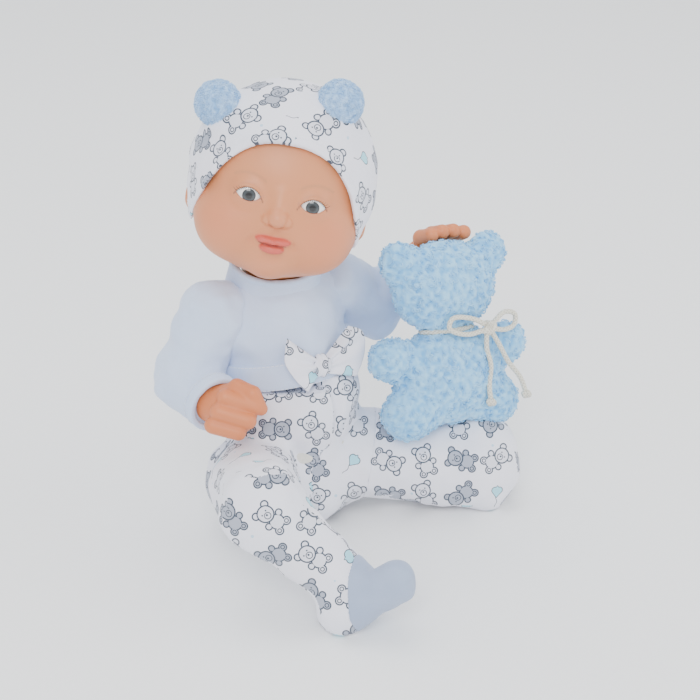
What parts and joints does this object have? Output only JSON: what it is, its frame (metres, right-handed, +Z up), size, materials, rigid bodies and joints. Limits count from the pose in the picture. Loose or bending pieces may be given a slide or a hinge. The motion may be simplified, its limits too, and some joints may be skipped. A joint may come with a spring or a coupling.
{
  "type": "interactive baby doll",
  "caption": "Seated soft-bodied baby doll with vinyl head and hands, footed romper and cap, a press-to-talk sound module in its belly, and a teddy-shaped pillow under one arm.",
  "frame": {"origin": "middle of the flat patch of the romper seat that the doll sits on", "axes": "+Z up; the torso faces -Y; the doll's left side is +X"},
  "size_m": [0.2254, 0.211, 0.2672],
  "materials": {
    "print_cloth": "satin",
    "blue_jersey": "matte",
    "sole_jersey": "matte",
    "body_cloth": "matte",
    "stuffing": "matte",
    "curly_fleece": "matte",
    "pompom_yarn": "matte",
    "ivory_cord": "matte",
    "vinyl_skin": "satin",
    "eye": "gloss",
    "case_plastic": "matte",
    "dark_plastic": "matte",
    "circuit_laminate": "satin",
    "steel": "satin",
    "cell_jacket": "gloss",
    "paper_cone": "matte",
    "wire": "satin"
  },
  "bodies": {
    "torso": {"torso_stuffing": "stuffing", "romper_seat": "print_cloth", "waistband": "blue_jersey", "bodice": "blue_jersey", "back_closure": "body_cloth", "collar": "blue_jersey", "neck_tie": "case_plastic", "waist_bow_wings": "print_cloth", "waist_bow_knot": "print_cloth", "module_case_front": "case_plastic", "module_case_back": "case_plastic", "case_screws": "steel", "battery_door": "case_plastic", "battery_door_screw": "steel", "battery_cells": "cell_jacket", "battery_contacts": "steel", "circuit_board": "circuit_laminate", "tact_switch": "dark_plastic", "slide_switch": "dark_plastic", "speaker_frame": "steel", "speaker_cone": "paper_cone", "speaker_magnet": "steel", "speaker_leads": "wire"},
    "tummy_button": {"tummy_button": "case_plastic"},
    "power_switch": {"power_switch_knob": "dark_plastic"},
    "head": {"head_shell": "vinyl_skin", "eye_right": "eye", "eye_left": "eye", "cap": "print_cloth", "pompom_right": "pompom_yarn", "pompom_left": "pompom_yarn"},
    "right_arm": {"arm_right": "vinyl_skin", "sleeve_right": "blue_jersey", "cuff_right": "blue_jersey"},
    "left_arm": {"arm_left": "vinyl_skin", "sleeve_left": "blue_jersey", "cuff_left": "blue_jersey"},
    "right_leg": {"leg_stuffing_right": "stuffing", "romper_leg_right": "print_cloth", "sole_right": "sole_jersey"},
    "left_leg": {"leg_stuffing_left": "stuffing", "romper_leg_left": "print_cloth", "sole_left": "sole_jersey"},
    "teddy": {"teddy_pillow": "curly_fleece", "teddy_cord_band": "ivory_cord", "bow_knot": "ivory_cord", "bow_loop_left": "ivory_cord", "bow_loop_right": "ivory_cord", "bow_tail_left": "ivory_cord", "bow_tail_right": "ivory_cord", "tail_knot_left": "ivory_cord", "tail_knot_right": "ivory_cord"}
  },
  "joints": [
    {"name": "neck_turn", "type": "hinge", "parent": "torso", "child": "head", "pos_m": [0, 0.02462, 0.14926], "axis": [0, -0.191, 0.9816], "range_deg": [-30, 90]},
    {"name": "right_shoulder", "type": "hinge", "parent": "torso", "child": "right_arm", "pos_m": [-0.041, 0.022, 0.13396], "axis": [-1, 0, 0], "range_deg": [-35, 85]},
    {"name": "left_shoulder", "type": "hinge", "parent": "torso", "child": "left_arm", "pos_m": [0.041, 0.022, 0.13396], "axis": [-1, 0, 0], "range_deg": [0, 40]},
    {"name": "right_hip", "type": "hinge", "parent": "torso", "child": "right_leg", "pos_m": [-0.032, -0.004, 0.036], "axis": [-0.8971, 0.4418, 0], "range_deg": [-45, 10]},
    {"name": "left_hip", "type": "hinge", "parent": "torso", "child": "left_leg", "pos_m": [0.032, -0.004, 0.036], "axis": [-0.5369, -0.8437, 0], "range_deg": [-45, 0]},
    {"name": "teddy_lift", "type": "slide", "parent": "torso", "child": "teddy", "axis": [0, -0.6, 0.8], "range_m": [0, 0.08]},
    {"name": "tummy_press", "type": "slide", "parent": "torso", "child": "tummy_button", "axis": [0, 0.9755, -0.2198], "range_m": [0, 0.002], "stiffness_N_per_m": 600, "springref_m": -0.001},
    {"name": "power_slide", "type": "slide", "parent": "torso", "child": "power_switch", "axis": [0, 0.2198, 0.9755], "range_m": [0, 0.003]}
  ]
}
